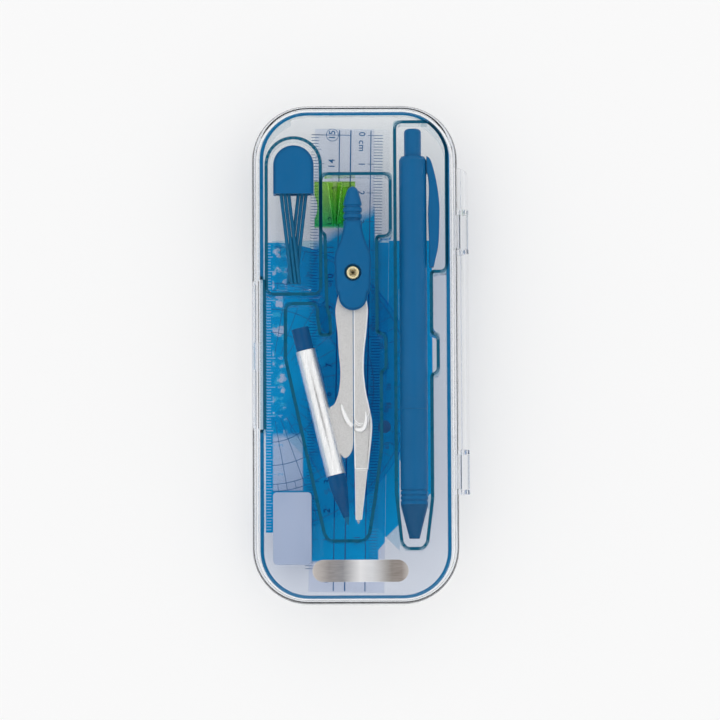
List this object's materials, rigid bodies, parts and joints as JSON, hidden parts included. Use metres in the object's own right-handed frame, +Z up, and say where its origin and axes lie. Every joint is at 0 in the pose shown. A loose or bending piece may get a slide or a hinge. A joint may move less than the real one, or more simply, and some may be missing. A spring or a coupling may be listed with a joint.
{
  "type": "drafting instrument case",
  "caption": "Clear hinged box with a tinted tray that holds a compass, a mechanical pencil and a lead box over flat drawing instruments.",
  "frame": {"origin": "middle of the base's flat underside, which lies on the table", "axes": "+X from the thumb recess to the hinge, +Y along the case towards the pencil's button, +Z up to the lid"},
  "size_m": [0.074, 0.17, 0.024],
  "materials": {
    "clear_polystyrene": "clear injection-moulded polystyrene, polished",
    "tinted_polystyrene": "transparent blue polystyrene, polished",
    "blue_plastic": "blue moulded plastic, semi-gloss",
    "satin_silver": "sandblasted zinc with satin silver plating",
    "sleeve_metal": "brushed tube",
    "screw_brass": "polished",
    "steel": "ground",
    "chuck_brass": "turned",
    "blue_lacquer": "lacquered wood",
    "graphite": "graphite",
    "natural_plastic": "natural polypropylene",
    "instrument_blue": "transparent blue acrylic, printed",
    "instrument_clear": "transparent pale blue acrylic, printed",
    "eraser_vinyl": "white vinyl",
    "sharpener_green": "translucent green plastic"
  },
  "bodies": {
    "case": {"base_shell": "clear_polystyrene", "instrument_tray": "tinted_polystyrene", "compass_head_front": "blue_plastic", "compass_head_back": "blue_plastic", "compass_screw": "screw_brass", "compass_nut": "screw_brass", "lead_box_body": "clear_polystyrene", "refill_leads": "graphite", "ruler": "instrument_clear", "protractor": "instrument_blue", "set_square_45": "instrument_blue", "set_square_60": "instrument_blue", "eraser": "eraser_vinyl", "sharpener_body": "sharpener_green", "sharpener_blade": "steel", "sharpener_screw": "steel", "pencil_upper_barrel": "blue_plastic", "pencil_clip": "blue_plastic", "pencil_joint_ring": "blue_plastic", "pencil_lower_barrel": "blue_plastic", "pencil_tip": "blue_plastic", "chuck_ring": "steel"},
    "lid": {"lid_shell": "clear_polystyrene"},
    "pencil_advance": {"push_button": "blue_plastic", "button_eraser": "eraser_vinyl", "lead_magazine": "natural_plastic", "advance_spring": "steel", "chuck": "chuck_brass", "pencil_lead": "graphite"},
    "compass_left_leg": {"compass_pencil_leg": "satin_silver", "pencil_sleeve": "sleeve_metal"},
    "short_pencil": {"stub_pencil": "blue_lacquer", "stub_pencil_lead": "graphite"},
    "compass_right_leg": {"compass_needle_leg": "satin_silver", "needle_holder": "satin_silver", "compass_needle": "steel"},
    "lead_cap": {"lead_box_cap": "blue_plastic"}
  },
  "joints": [
    {"name": "lid_hinge", "type": "hinge", "parent": "case", "child": "lid", "pos_m": [0.0371, 0, 0.012], "axis": [0, 1, 0], "range_deg": [0, 178]},
    {"name": "button_push", "type": "slide", "parent": "case", "child": "pencil_advance", "axis": [0, -1, 0], "range_m": [0, 0.0025], "stiffness_N_per_m": 600, "springref_m": -0.001, "deforming": ["advance_spring"]},
    {"name": "pencil_leg_pivot", "type": "hinge", "parent": "case", "child": "compass_left_leg", "pos_m": [-0.0007, 0.0279, 0.0167], "axis": [0, 0, -1], "range_deg": [0, 1.2]},
    {"name": "needle_leg_pivot", "type": "hinge", "parent": "case", "child": "compass_right_leg", "pos_m": [-0.0007, 0.0279, 0.0167], "axis": [0, 0, 1], "range_deg": [0, 1.2]},
    {"name": "short_pencil_slide", "type": "slide", "parent": "compass_left_leg", "child": "short_pencil", "axis": [-0.2351, 0.972, 0], "range_m": [-0.0015, 0.0015]},
    {"name": "lead_cap_slide", "type": "slide", "parent": "case", "child": "lead_cap", "axis": [0, 1, 0], "range_m": [0, 0.0017]}
  ]
}
